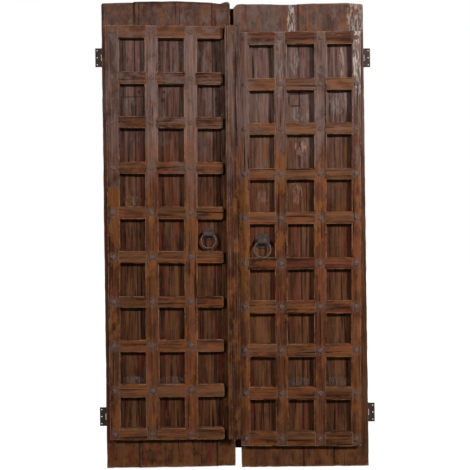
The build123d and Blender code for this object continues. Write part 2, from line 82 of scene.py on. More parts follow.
class Shader:
    """A material's node tree, with short calls for the nodes that these materials use."""

    def __init__(self, name, grain=GRAIN_UP):
        self.grain = grain
        self.material = bpy.data.materials.new(name)
        self.material.use_nodes = True
        self.tree = self.material.node_tree
        self.bsdf = next(node for node in self.tree.nodes if node.type == "BSDF_PRINCIPLED")
        self.object_place = self.tree.nodes.new("ShaderNodeTexCoord").outputs["Object"]

    def link(self, value, socket):
        if isinstance(value, bpy.types.NodeSocket):
            self.tree.links.new(value, socket)
        elif socket.type == "RGBA" and len(value) == 3:
            socket.default_value = (*value, 1.0)
        else:
            socket.default_value = value

    def math(self, operation, first, second=0.0, third=0.0, clamp=False):
        node = self.tree.nodes.new("ShaderNodeMath")
        node.operation = operation
        node.use_clamp = clamp
        for socket, value in zip(node.inputs, (first, second, third)):
            self.link(value, socket)
        return node.outputs[0]

    def times(self, first, second):
        return self.math("MULTIPLY", first, second)

    def less(self, value):
        """What is left of 1 without a share."""
        return self.math("SUBTRACT", 1.0, value)

    def noise(self, layer):
        """A layer's noise as it is."""
        stretch = layer.stretch
        if not isinstance(stretch, tuple):
            stretch = (1, 1, stretch) if self.grain == GRAIN_UP else (stretch, 1, 1)
        mapping = self.tree.nodes.new("ShaderNodeMapping")
        self.link(self.object_place, mapping.inputs["Vector"])
        mapping.inputs["Scale"].default_value = stretch
        mapping.inputs["Location"].default_value = layer.shift
        node = self.tree.nodes.new("ShaderNodeTexNoise")
        self.link(mapping.outputs[0], node.inputs["Vector"])
        node.inputs["Scale"].default_value = layer.scale
        node.inputs["Detail"].default_value = layer.detail
        node.inputs["Roughness"].default_value = layer.roughness
        node.inputs["Distortion"].default_value = layer.distortion
        return node.outputs["Fac"]

    def band(self, value, low, high):
        """0 below low, 1 above high, and a smooth step between."""
        node = self.tree.nodes.new("ShaderNodeMapRange")
        node.interpolation_type = "SMOOTHSTEP"
        self.link(value, node.inputs["Value"])
        node.inputs["From Min"].default_value = low
        node.inputs["From Max"].default_value = high
        return node.outputs["Result"]

    def share(self, layer):
        """Where a layer shows, from 0 to 1."""
        return self.band(self.noise(layer), layer.low, layer.high)

    def mix(self, share, first, second):
        node = self.tree.nodes.new("ShaderNodeMix")
        node.data_type = "RGBA"
        self.link(share, node.inputs["Factor"])
        self.link(first, node.inputs["A"])
        self.link(second, node.inputs["B"])
        return node.outputs["Result"]

    def cover(self, color, where, strength, tint):
        """A tint over a colour, where a share from 0 to 1 says, at a strength from 0 to 1."""
        return self.mix(self.times(where, strength), color, tint)

    def attribute(self, name):
        node = self.tree.nodes.new("ShaderNodeAttribute")
        node.attribute_name = name
        return node.outputs["Fac"]

    def place(self, axis):
        node = self.tree.nodes.new("ShaderNodeSeparateXYZ")
        self.link(self.object_place, node.inputs[0])
        return node.outputs[axis]

    def spot(self, x, z, width, height, raggedness):
        """1 inside a ragged oval patch on the front, centred at (x, z)."""
        across = self.math("DIVIDE", self.math("SUBTRACT", self.place("X"), x), width / 2)
        up = self.math("DIVIDE", self.math("SUBTRACT", self.place("Z"), z), height / 2)
        square = self.math("ADD", self.times(across, across), self.times(up, up))
        ragged = self.math("MULTIPLY_ADD", self.noise(SPOT_RAGGED), 2 * raggedness, -raggedness)
        outside = self.band(self.math("ADD", square, ragged), SPOT_FULL, SPOT_EDGE)
        behind = self.band(self.place("Y"), SPOT_FRONT, SPOT_BACK)
        return self.less(self.math("MAXIMUM", outside, behind))

    def bump(self, height, strength, distance):
        node = self.tree.nodes.new("ShaderNodeBump")
        node.inputs["Strength"].default_value = strength
        node.inputs["Distance"].default_value = distance
        self.link(height, node.inputs["Height"])
        self.link(node.outputs[0], self.bsdf.inputs["Normal"])

    def finish(self, color, roughness):
        self.link(color, self.bsdf.inputs["Base Color"])
        self.link(roughness, self.bsdf.inputs["Roughness"])
        return self.material


def srgb(red, green, blue):
    """A colour given as 0 to 255 display values, as linear light."""
    def linear(value):
        value /= 255
        return value / 12.92 if value <= 0.04045 else ((value + 0.055) / 1.055) ** 2.4
    return (linear(red), linear(green), linear(blue))


# Timber

DUST = srgb(122, 106, 98)
GREY_BLOOM = srgb(104, 88, 84)
NAIL_DUST = srgb(96, 78, 70)
OCHRE = srgb(140, 84, 42)
RUST_BROWN = srgb(126, 70, 36)
RED_BROWN = srgb(106, 58, 34)
BARE_BROWN = srgb(118, 72, 38)
CRIMSON = srgb(98, 40, 30)
OLIVE = srgb(104, 68, 40)
SLATE = srgb(88, 82, 80)
CREAM = srgb(130, 114, 90)
DARK_CRACK = srgb(20, 9, 5)
# Dark colour for the plank joints, which also paints shade into grooves and steps.
JOINT_GRIME_AND_SHADE = srgb(40, 28, 24)
WHITE_PAINT = srgb(190, 180, 172)
PINK_PAINT = srgb(166, 128, 118)
GREY_PAINT = srgb(142, 134, 132)

# The wood's layers: scale, detail, roughness, stretch, shift, low, high, strength, distortion.
HEIGHT_DRIFT = Layer(9, 4, 0.6, (1, 1, 0.6), (5, 1, 2))
FIBRES = Layer(120, 4, 0.65, 0.05, NO_SHIFT, 0.38, 0.62)
STREAKS = Layer(46, 5, 0.65, 0.05, (3, 7, 1), 0.38, 0.62, 1, 0.5)
BLOTCHES = Layer(34, 6, 0.7, (1, 1, 0.6), (3, 3, 1), 0.34, 0.64)
WARMTH = Layer(24, 5, 0.7, 0.4, (9, 4, 6), 0.48, 0.6)
BROWN = Layer(15, 5, 0.7, (1, 1, 0.8), (6, 1, 4), 0.46, 0.62, 0.7)
CRIMSON_STREAKS = Layer(20, 4, 0.6, 0.12, (1, 9, 5), 0.53, 0.64)
OLIVE_STREAKS = CRIMSON_STREAKS._replace(low=0.36, high=0.46)
BLOOM = Layer(20, 6, 0.75, 0.5, (2, 8, 3), 0.5, 0.64)
STAIN = Layer(13, 5, 0.7, 0.6, (4, 2, 9), 0.54, 0.68, 0.45)
CRACKS = Layer(70, 3, 0.55, 0.03, (1, 2, 8), 0.63, 0.68, 0.8)
FLECKS = Layer(240, 3, 0.7, 0.5, (8, 3, 3), 0.64, 0.72)
# Where the edges turn pale: partly rubbed wear, partly a painted highlight.
RUBBED_HIGHLIGHT = Layer(34, 4, 0.7, EVEN, (6, 6, 6), 0.38, 0.58, 0.75)
DUST_PATCHES = Layer(75, 5, 0.75, EVEN, (2, 2, 6), 0.4, 0.58)
FLAKES = Layer(130, 4, 0.7, 0.2, (7, 7, 7), 0.45, 0.6)
PITS = Layer(170, 5, 0.75, 0.35, (5, 5, 2), strength=0.8)

# Heights between which the wood turns from redder to dusty, and where its bare ends begin.
HEIGHT_REACH = 0.8
UPPER_FROM = 1.55
UPPER_FULL = 2.1
HEADER_FOOT = 1.93
HEADER_TOP = 1.97
FOOT_LOW = 0.11
FOOT_HIGH = 0.14
BARE_SHARE = 0.8
HEADER_DARK = 0.5

FIBRE_SHARE = 0.5
MOTTLE_SHARE = 0.6
TONE_SPREAD = 0.5
UPPER_FADE = 0.6
BLOOM_BELOW = 0.12
FLECKS_ABOVE = 0.4
FLECKS_BELOW = 0.15
DUST_RAGGED = 0.5
DUST_THIN = 0.05
JOINT_GRIME_AND_SHADE_SHARE = 0.7
EDGE_HIGHLIGHT_BAND = (0.5, 1.0)
DUST_BAND = (0.1, 0.8)
JOINT_GRIME_AND_SHADE_BAND = (0.7, 1.0)
PATCH_RAGGED = 0.5
MARK_RAGGED = 0.3
FIBRE_RELIEF = 0.6
CRACK_RELIEF = 1.2
RELIEF_STRENGTH = 1.0
RELIEF_DEPTH = 0.004
TIMBER_GLOSS = 0.05
TIMBER_ROUGHNESS = 0.75

# The edge tone is the pale colour of the edges: partly rubbed wear, partly a painted highlight.
Tones = namedtuple("Tones", "top_light top_dark low_light low_dark edge_light warm")
Shares = namedtuple("Shares", "warm bloom streaks")


def bare_zones(s):
    """The shares of the header, and of header and foot together, where the wood is mottled."""
    header = s.times(s.band(s.place("Z"), HEADER_FOOT, HEADER_TOP), BARE_SHARE)
    above_foot = s.times(s.band(s.place("Z"), FOOT_LOW, FOOT_HIGH), BARE_SHARE)
    return header, s.math("MAXIMUM", header, s.math("SUBTRACT", BARE_SHARE, above_foot))


def grain_color(s, tones, upper, header, bare, fibres, streaks):
    """Light and dark along the grain, in blotches where the wood is bare."""
    fine = s.times(s.band(fibres, FIBRES.low, FIBRES.high), FIBRE_SHARE)
    coarse = s.band(streaks, STREAKS.low, STREAKS.high)
    shade = s.math("MULTIPLY_ADD", coarse, 1 - FIBRE_SHARE, fine)
    mottled = s.math("MULTIPLY_ADD", s.share(BLOTCHES), MOTTLE_SHARE, s.times(shade, 1 - MOTTLE_SHARE))
    shade = s.math("ADD", s.times(shade, s.less(bare)), s.times(mottled, bare))
    tone = s.math("MULTIPLY_ADD", s.attribute("tone"), TONE_SPREAD, -TONE_SPREAD / 2)
    light = s.mix(upper, tones.low_light, tones.top_light)
    dark = s.mix(upper, tones.low_dark, tones.top_dark)
    color = s.mix(s.math("ADD", shade, tone, clamp=True), dark, light)
    return s.cover(color, header, HEADER_DARK, tones.top_dark)


def aged_color(s, color, tones, shares, upper, bare, cracks):
    """Warm patches, crimson and olive streaks, grey bloom, stains, cracks and pale flecks."""
    below = s.math("MULTIPLY_ADD", upper, -UPPER_FADE, 1.0)
    color = s.cover(color, s.times(s.share(WARMTH), below), shares.warm, tones.warm)
    color = s.cover(color, s.times(s.share(BROWN), bare), BROWN.strength, BARE_BROWN)
    color = s.cover(color, s.times(s.share(CRIMSON_STREAKS), below), shares.streaks, CRIMSON)
    color = s.cover(color, s.times(s.less(s.share(OLIVE_STREAKS)), below), shares.streaks, OLIVE)
    bloom = s.math("MULTIPLY_ADD", upper, shares.bloom, BLOOM_BELOW)
    color = s.cover(color, s.share(BLOOM), bloom, GREY_BLOOM)
    color = s.cover(color, s.share(STAIN), STAIN.strength, tones.low_dark)
    color = s.cover(color, cracks, CRACKS.strength, DARK_CRACK)
    flecks = s.math("MULTIPLY_ADD", upper, FLECKS_ABOVE, FLECKS_BELOW)
    return s.cover(color, s.share(FLECKS), flecks, DUST)


def worn_color(s, color, edge_light):
    """Pale rubbed edges, partly wear and partly a painted highlight; dust around the nails; dark plank
    joints, with painted shade in grooves and steps; all where the mesh says.
    """
    # Pale edges, partly rubbed wear and partly a painted highlight.
    edge = s.times(s.band(s.attribute("edge"), *EDGE_HIGHLIGHT_BAND), s.share(RUBBED_HIGHLIGHT))
    color = s.cover(color, edge, RUBBED_HIGHLIGHT.strength, edge_light)
    ragged = s.math("MULTIPLY_ADD", s.share(DUST_PATCHES), DUST_RAGGED, DUST_THIN)
    color = s.cover(color, s.band(s.attribute("dust"), *DUST_BAND), ragged, NAIL_DUST)
    # Dark plank joints, and painted shade in the grooves and steps.
    return s.cover(color, s.band(s.attribute("joint_grime_and_shade"), *JOINT_GRIME_AND_SHADE_BAND), JOINT_GRIME_AND_SHADE_SHARE, JOINT_GRIME_AND_SHADE)


def painted_color(s, color, paint, marks):
    """Flaking paint patches, and dark knots and seams."""
    for x, z, width, tall, strength, tint in paint:
        patch = s.times(s.spot(x, z, width, tall, PATCH_RAGGED), s.share(FLAKES))
        color = s.cover(color, patch, strength, tint)
    for x, z, width, tall, strength in marks:
        color = s.cover(color, s.spot(x, z, width, tall, MARK_RAGGED), strength, DARK_CRACK)
    return color


def timber(name, grain, tones, shares, paint=(), marks=()):
    """Weathered wood whose grain runs up or along X; dusty and grey above, redder below."""
    s = Shader(name, grain)
    fibres = s.noise(FIBRES)
    streaks = s.noise(STREAKS)
    cracks = s.share(CRACKS)
    height = s.math("MULTIPLY_ADD", s.noise(HEIGHT_DRIFT), HEIGHT_REACH, s.place("Z"))
    upper = s.band(height, UPPER_FROM, UPPER_FULL)
    header, bare = bare_zones(s)
    color = grain_color(s, tones, upper, header, bare, fibres, streaks)
    color = aged_color(s, color, tones, shares, upper, bare, cracks)
    color = worn_color(s, color, tones.edge_light)
    color = painted_color(s, color, paint, marks)
    pits = s.times(s.noise(PITS), PITS.strength)
    ridges = s.math("MULTIPLY_ADD", fibres, FIBRE_RELIEF, s.math("ADD", streaks, pits))
    relief = s.math("SUBTRACT", ridges, s.times(cracks, CRACK_RELIEF))
    s.bump(relief, RELIEF_STRENGTH, RELIEF_DEPTH)
    s.bsdf.inputs["Specular IOR Level"].default_value = TIMBER_GLOSS
    return s.finish(color, TIMBER_ROUGHNESS)


# Paint left on the wood: x, z, width, height, strength and colour.
PLANK_PAINT = (
    (0.266, 2.0, 0.036, 0.22, 0.55, WHITE_PAINT),
    (0.555, 2.02, 0.085, 0.18, 0.4, WHITE_PAINT),
    (0.275, 1.83, 0.050, 0.13, 0.45, GREY_PAINT),
    (0.490, 1.82, 0.024, 0.14, 0.32, WHITE_PAINT),
    (0.300, 1.44, 0.055, 0.08, 0.5, PINK_PAINT),
    (0.280, 1.24, 0.050, 0.13, 0.3, PINK_PAINT),
    (0.130, 1.22, 0.060, 0.06, 0.18, GREY_PAINT),
    (0.467, 1.646, 0.100, 0.12, 0.3, GREY_PAINT),
    (0.300, 1.590, 0.090, 0.07, 0.3, GREY_PAINT),
    (0.140, 2.03, 0.170, 0.13, 0.7, SLATE),
    (-0.468, 0.402, 0.110, 0.035, 0.8, SLATE),
    (-0.293, 0.400, 0.110, 0.035, 0.8, SLATE),
    (0.279, 0.383, 0.110, 0.045, 0.8, SLATE),
    (0.450, 0.383, 0.110, 0.045, 0.7, SLATE),
    (-0.460, 1.208, 0.100, 0.050, 0.28, CREAM),
)
UPRIGHT_PAINT = (
    (0.560, 1.86, 0.050, 0.40, 0.7, WHITE_PAINT),
    (0.205, 1.80, 0.040, 0.30, 0.3, GREY_PAINT),
)
# Knots, seams and the edge of a worn patch: x, z, width, height and strength.
PLANK_MARKS = (
    (-0.424, 1.698, 0.012, 0.015, 0.7),
    (-0.311, 1.696, 0.012, 0.012, 0.7),
    (-0.316, 1.660, 0.018, 0.022, 0.6),
    (-0.459, 1.676, 0.130, 0.005, 0.7),
    (0.251, 1.653, 0.007, 0.052, 0.75),
    (0.296, 1.680, 0.095, 0.008, 0.8),
    (0.278, 1.626, 0.055, 0.007, 0.7),
)

PLANK_TONES = Tones(
    srgb(112, 88, 80), srgb(58, 38, 31), srgb(100, 64, 42), srgb(40, 21, 12), srgb(122, 96, 82), RED_BROWN
)
RAIL_TONES = Tones(
    srgb(112, 76, 56), srgb(52, 30, 20), srgb(110, 71, 47), srgb(46, 23, 12), srgb(150, 116, 92), RUST_BROWN
)
UPRIGHT_TONES = Tones(
    srgb(122, 97, 89), srgb(66, 46, 39), srgb(107, 64, 38), srgb(46, 23, 12), srgb(150, 122, 106), OCHRE
)

plank_wood = timber(
    "worn_plank_wood", GRAIN_UP, PLANK_TONES, Shares(warm=0.35, bloom=0.5, streaks=0.6),
    PLANK_PAINT, PLANK_MARKS,
)
rail_wood = timber("worn_rail_wood", GRAIN_ALONG_X, RAIL_TONES, Shares(warm=0.5, bloom=0.5, streaks=0.4))
upright_wood = timber(
    "worn_upright_wood", GRAIN_UP, UPRIGHT_TONES, Shares(warm=0.42, bloom=0.5, streaks=0.3), UPRIGHT_PAINT
)


# Metals

IRON_MOTTLE = Layer(190, 5, 0.65, EVEN, NO_SHIFT, 0.3, 0.7)
IRON_RUST = Layer(70, 4, 0.6, EVEN, (4, 4, 4), 0.5, 0.7)
RUST = srgb(92, 52, 32)
IRON_RELIEF = 0.5
IRON_RELIEF_DEPTH = 0.0008
IRON_GLOSS = 0.14


def iron(name, light, dark, rust_share, roughness):
    """Old iron with a mottled brown skin and patches of rust."""
    s = Shader(name)
    mottle = s.noise(IRON_MOTTLE)
    color = s.mix(s.band(mottle, IRON_MOTTLE.low, IRON_MOTTLE.high), dark, light)
    color = s.cover(color, s.share(IRON_RUST), rust_share, RUST)
    s.bump(mottle, IRON_RELIEF, IRON_RELIEF_DEPTH)
    s.bsdf.inputs["Specular IOR Level"].default_value = IRON_GLOSS
    return s.finish(color, roughness)


ring_iron = iron("forged_ring_iron", srgb(102, 88, 80), srgb(54, 43, 38), 0.25, 0.42)
eye_iron = iron("forged_eye_iron", srgb(84, 71, 66), srgb(36, 27, 24), 0.2, 0.4)
plate_iron = iron("dusty_plate_iron", srgb(72, 56, 50), srgb(34, 25, 22), 0.25, 0.6)
nail_iron = iron("dusty_nail_iron", srgb(108, 84, 76), srgb(62, 45, 40), 0.4, 0.65)
hinge_iron = iron("dull_hinge_iron", srgb(66, 52, 42), srgb(34, 26, 21), 0.45, 0.55)


# Mesh helpers

WELD = 1e-5
CUT_SLACK = 1e-6
SHARP_ANGLE = math.radians(25)
FLAT_ANGLE = math.radians(0.5)


def unit_noise(point):
    """Smooth noise from 0 to 1."""
    return 0.5 + 0.5 * noise.noise(point)


def turns(count):
    """Evenly spaced angles once round."""
    return [2 * math.pi * step / count for step in range(count)]


def islands(mesh):
    """The points of each loose part of a mesh, in the mesh's own order."""
    bm = bmesh.new()
    bm.from_mesh(mesh)
    bmesh.ops.remove_doubles(bm, verts=bm.verts[:], dist=WELD)
    seen = set()
    found = []
    for start in bm.verts:
        if start in seen:
            continue
        seen.add(start)
        stack = [start]
        island = []
        while stack:
            vert = stack.pop()
            island.append(vert.co.copy())
            for edge in vert.link_edges:
                other = edge.other_vert(vert)
                if other not in seen:
                    seen.add(other)
                    stack.append(other)
        found.append(island)
    bm.free()
    return found


def slice_along(bm, axis, step):
    """Cut a mesh with evenly spaced planes square to one axis."""
    values = [vert.co[axis] for vert in bm.verts]
    low = min(values)
    high = max(values)
    count = int((high - low) / step)
    normal = Vector((0, 0, 0))
    normal[axis] = 1
    for index in range(1, count):
        point = Vector((0, 0, 0))
        point[axis] = low + (high - low) * index / count
        geometry = bm.verts[:] + bm.edges[:] + bm.faces[:]
        bmesh.ops.bisect_plane(bm, geom=geometry, dist=CUT_SLACK, plane_co=point, plane_no=normal)


def add_prism(bm, outline, front, back):
    """A board whose front outline is a closed run of (x, z) points."""
    near = [bm.verts.new((x, front, z)) for x, z in outline]
    far = [bm.verts.new((x, back, z)) for x, z in outline]
    bm.faces.new(near)
    bm.faces.new(far[::-1])
    for index in range(len(outline)):
        after = (index + 1) % len(outline)
        bm.faces.new((near[after], near[index], far[index], far[after]))


def skin(bm, loops, closed):
    """Faces between neighbouring loops of vertices, and from the last loop to the first where closed."""
    pairs = list(zip(loops, loops[1:]))
    if closed:
        pairs.append((loops[-1], loops[0]))
    for first, second in pairs:
        for index in range(len(first)):
            after = (index + 1) % len(first)
            bm.faces.new((first[index], first[after], second[after], second[index]))


def fan(bm, loop, hub_place):
    """Faces from a loop of vertices to a new one in its middle."""
    hub = bm.verts.new(hub_place)
    for index in range(len(loop)):
        bm.faces.new((loop[index], loop[(index + 1) % len(loop)], hub))


def new_piece(name, bm, material, node):
    """A smooth piece of the scene that rides on a CAD node's body and is shown in its place."""
    mesh = bpy.data.meshes.new(name)
    bm.to_mesh(mesh)
    bm.free()
    piece = bpy.data.objects.new(name, mesh)
    bpy.context.scene.collection.objects.link(piece)
    mesh.materials.append(material)
    for polygon in mesh.polygons:
        polygon.use_smooth = True
    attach(piece, BODY_OF[node])
    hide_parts(node)


# Where the nails are, which the wood around them needs

FRONT = -0.028
RIM_SLACK = 1e-4
DUST_DEPTH = 0.004
DUST_REACH = 0.032
DUST_FADE = 0.014


def nail_centres(node):
    """The middle of each head's seat on the lattice, from the foot up."""
    centres = []
    for head in islands(NODES[node].data):
        seat = max(point.y for point in head)
        rim = [point for point in head if point.y > seat - RIM_SLACK]
        centres.append(sum(rim, Vector()) / len(rim))
    return sorted(centres, key=lambda centre: (round(centre.z, 3), round(centre.x, 3)))


NAIL_CENTRES = {side: nail_centres("nail_heads_" + side) for side in SIDES}
nail_tree = kdtree.KDTree(sum(len(centres) for centres in NAIL_CENTRES.values()))
for index, centre in enumerate(NAIL_CENTRES["left"] + NAIL_CENTRES["right"]):
    nail_tree.insert((centre.x, FRONT, centre.z), index)
nail_tree.balance()


def nail_dust(place):
    """How much of the dust around the nearest nail head lies here, from 0 to 1."""
    if place.y > FRONT + DUST_DEPTH:
        return 0.0
    _, _, distance = nail_tree.find((place.x, FRONT, place.z))
    return min(1.0, max(0.0, (DUST_REACH - distance) / DUST_FADE))


# Wear on a board's surface

WAVE_DEPTH = 0.0012
WAVE_SCALE = 9
RIDGE_DEPTH = 0.0007
RIDGE_ACROSS = 160
RIDGE_ALONG = 7
EDGE_DEPTH = 0.0034
BITE_SCALE = 28
BOARD_SHIFT = (13, 29, 7)
# How strongly the astragal's edges are painted pale: rubbed wear and painted highlight.
MOULDING_RUB_HIGHLIGHT = 0.7
OUTER_EDGE = 0.585
MEETING_ZONE = 0.03
SIDE_NORMAL = 0.6
EDGE_NORMAL = 0.02
JOINT_CLOSING = 0.0012


def on_edge(vert):
    """True for a vertex where the surface turns a corner."""
    normals = [face.normal for face in vert.link_faces]
    return any(normals[0].angle(other, 0) > SHARP_ANGLE / 2 for other in normals[1:])


def closes_joint(vert):
    """True for a plank's side that lies against the next plank."""
    return abs(vert.normal.x) > SIDE_NORMAL and MEETING_ZONE < abs(vert.co.x) < OUTER_EDGE


def lines_joint(vert):
    """True for a plank's front edge beside the next plank."""
    return abs(vert.normal.x) > EDGE_NORMAL and MEETING_ZONE < abs(vert.co.x) < OUTER_EDGE


def in_hollow(vert):
    """True at the foot of a groove or step."""
    return any(
        not edge.is_convex and edge.calc_face_angle(0) > SHARP_ANGLE
        for edge in vert.link_edges
        if len(edge.link_faces) == 2
    )


def wear_board(bm, grain, node, is_plank):
    """Push a sliced board's surface in along its grain, round off its edges and mark them for the wood."""
    bm.normal_update()
    edge_highlight_layer = bm.verts.layers.float.new("edge")
    tone_layer = bm.verts.layers.float.new("tone")
    joint_grime_and_shade_layer = bm.verts.layers.float.new("joint_grime_and_shade")
    dust_layer = bm.verts.layers.float.new("dust")
    tone = random.Random(node).random()
    rub_highlight = MOULDING_RUB_HIGHLIGHT if node == "astragal" else 1.0
    shift = Vector([tone * part for part in BOARD_SHIFT])
    ridge_scale = (RIDGE_ACROSS, RIDGE_ACROSS, RIDGE_ALONG)
    if grain == GRAIN_ALONG_X:
        ridge_scale = ridge_scale[::-1]
    moves = []
    for vert in bm.verts:
        place = vert.co + shift
        at_edge = on_edge(vert)
        # Grooves, steps and plank joints are marked dark: the joints as dark seams, the grooves and steps as
        # painted shade.
        in_groove = at_edge and (in_hollow(vert) or (is_plank and lines_joint(vert)))
        # Convex edges are marked for the pale edge colour: partly rubbed wear, partly a painted highlight.
        vert[edge_highlight_layer] = rub_highlight if at_edge and not in_groove else 0.0
        vert[tone_layer] = tone
        vert[joint_grime_and_shade_layer] = 1.0 if in_groove else 0.0
        vert[dust_layer] = nail_dust(vert.co)
        if is_plank and closes_joint(vert):
            moves.append(Vector((math.copysign(JOINT_CLOSING, vert.normal.x), 0, 0)))
            continue
        ridge_place = Vector([part * scale for part, scale in zip(place, ridge_scale)])
        inward = WAVE_DEPTH * unit_noise(place * WAVE_SCALE) + RIDGE_DEPTH * unit_noise(ridge_place)
        if at_edge:
            bite = unit_noise(place * BITE_SCALE)
            inward += EDGE_DEPTH * bite * bite
        moves.append(-vert.normal * inward)
    for vert, move in zip(bm.verts, moves):
        vert.co += move


# Boards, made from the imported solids' own forms

BEVEL = 0.0020
BEVEL_SEGMENTS = 2
MOST_CORNERS = 4
END_REACH = 0.01
RAIL_LAP = 0.010
RAIL_PROUD = 0.0024
RAIL_ROUND = 0.009
FREE_END_ROUND = 0.012
LEDGE_COVER = 0.0155
CORE_FRONT = -0.020
CORE_INSET = 0.0006
CORNER_STEPS = 5


def cad_board(node):
    """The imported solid's own form."""
    bm = bmesh.new()
    bm.from_mesh(NODES[node].data)
    bmesh.ops.remove_doubles(bm, verts=bm.verts[:], dist=WELD)
    bmesh.ops.dissolve_limit(bm, angle_limit=FLAT_ANGLE, verts=bm.verts[:], edges=bm.edges[:])
    return bm


def seat_points(node):
    """The corners of a lattice member where it lies on the planks, from left to right."""
    points = {(round(v.co.x, 5), round(v.co.z, 5)) for v in NODES[node].data.vertices if abs(v.co.y) < WELD}
    return sorted(points)


def height_of(point):
    """The second number of an (x, z) point."""
    return point[1]


def upright_board(node):
    """An upright with its full width from end to end."""
    points = seat_points(node)
    middle = sum(x for x, z in points) / len(points)
    corners = []
    for pick in (min, max):
        level = pick(z for x, z in points)
        for side in (-1, 1):
            near = [p for p in points if side * (p[0] - middle) > 0 and abs(p[1] - level) < END_REACH]
            corners.append(pick(near, key=height_of))
    low_left, low_right, top_left, top_right = corners
    bm = bmesh.new()
    add_prism(bm, (top_left, low_left, low_right, top_right), FRONT, 0)
    return bm


def rounded_bay(low_left, top_left, low_right, top_right, round_left, round_right):
    """A rail's outline in one bay, with arcs at its corners."""
    corners = (
        (Vector(top_left), round_left),
        (Vector(low_left), round_left),
        (Vector(low_right), round_right),
        (Vector(top_right), round_right),
    )
    outline = []
    for index, (corner, radius) in enumerate(corners):
        before = (corners[index - 1][0] - corner).normalized()
        after = (corners[(index + 1) % len(corners)][0] - corner).normalized()
        centre = corner + (before + after) * radius
        for step in range(CORNER_STEPS + 1):
            turn = math.pi / 2 * step / CORNER_STEPS
            outline.append(centre - after * radius * math.cos(turn) - before * radius * math.sin(turn))
    return [(point.x, point.y) for point in outline]


def edge_pairs(points):
    """The lowest and highest point of each upright edge that a rail meets, from left to right."""
    groups = [[points[0]]]
    for before, point in zip(points, points[1:]):
        if point[0] - before[0] > END_REACH:
            groups.append([])
        groups[-1].append(point)
    return [(min(group, key=height_of), max(group, key=height_of)) for group in groups]


def rail_board(node):
    """A rail seen between the uprights, its ends lapping a little over them."""
    pairs = edge_pairs(seat_points(node))
    front_end = max(v.co.x for v in NODES[node].data.vertices if abs(v.co.y - FRONT) < WELD)
    bm = bmesh.new()
    for index in range(0, len(pairs), 2):
        low_left, top_left = pairs[index]
        low_right, top_right = pairs[index + 1]
        is_free_end = node.startswith("rail_left") and index + 2 == len(pairs)
        reach = front_end - max(low_right[0], top_right[0]) if is_free_end else RAIL_LAP
        slope = (top_right[1] - top_left[1]) / (top_right[0] - top_left[0])
        ends = [(x - RAIL_LAP, z - slope * RAIL_LAP) for x, z in (low_left, top_left)]
        ends += [(x + reach, z + slope * reach) for x, z in (low_right, top_right)]
        outline = rounded_bay(*ends, RAIL_ROUND, FREE_END_ROUND if is_free_end else RAIL_ROUND)
        add_prism(bm, outline, FRONT - RAIL_PROUD, -LEDGE_COVER if is_free_end else 0)
        if is_free_end:
            left = low_left[0] - RAIL_LAP
            right = min(low_right[0], top_right[0]) - CORE_INSET
            foot = max(low_left[1], low_right[1]) + CORE_INSET
            top = min(top_left[1], top_right[1]) - CORE_INSET
            add_prism(bm, ((left, top), (left, foot), (right, foot), (right, top)), CORE_FRONT, 0)
    return bm


def worn_board(node, bm, grain, material, slot, steps):
    """A detailed board that stands for a CAD board in the picture."""
    bm.normal_update()
    sharp = [edge for edge in bm.edges if len(edge.link_faces) == 2 and edge.calc_face_angle(0) > SHARP_ANGLE]
    bmesh.ops.bevel(
        bm, geom=sharp, offset=BEVEL, segments=BEVEL_SEGMENTS, profile=0.5, affect="EDGES", clamp_overlap=True
    )
    for axis, step in enumerate(steps):
        slice_along(bm, axis, step)
    bmesh.ops.triangulate(bm, faces=[face for face in bm.faces if len(face.verts) > MOST_CORNERS])
    wear_board(bm, grain, node, slot == "plank_wood")
    new_piece("worn_" + node, bm, material, node)


# How far apart the slices are in x, y and z.
PLANK_STEPS = (0.011, 0.014, 0.022)
UPRIGHT_STEPS = (0.007, 0.009, 0.012)
RAIL_STEPS = (0.009, 0.009, 0.007)

for node in sorted(NODES):
    if node.startswith("plank") or node == "rear_strip":
        worn_board(node, cad_board(node), GRAIN_UP, plank_wood, "plank_wood", PLANK_STEPS)
    elif node.startswith("rail"):
        worn_board(node, rail_board(node), GRAIN_ALONG_X, rail_wood, "rail_wood", RAIL_STEPS)
    elif node.startswith(("stile", "batten", "meeting_stile_right")):
        worn_board(node, upright_board(node), GRAIN_UP, upright_wood, "upright_wood", UPRIGHT_STEPS)
    elif node in ("meeting_stile_left", "astragal"):
        worn_board(node, cad_board(node), GRAIN_UP, upright_wood, "upright_wood", UPRIGHT_STEPS)


# Forged nail heads, one at each head of the CAD node

NAIL_RADIUS = 0.0115
NAIL_HEIGHT = 0.0040
NAIL_SINK = 0.55
NAIL_CROWN = 0.96
NAIL_SIDES = 28
NAIL_RINGS = 7
NAIL_FLATS = 5
FLAT_DEPTHS = (0.2, 0.5)
FLAT_START = 0.25
THREE_LOBES = 0.08
FIVE_LOBES = 0.05


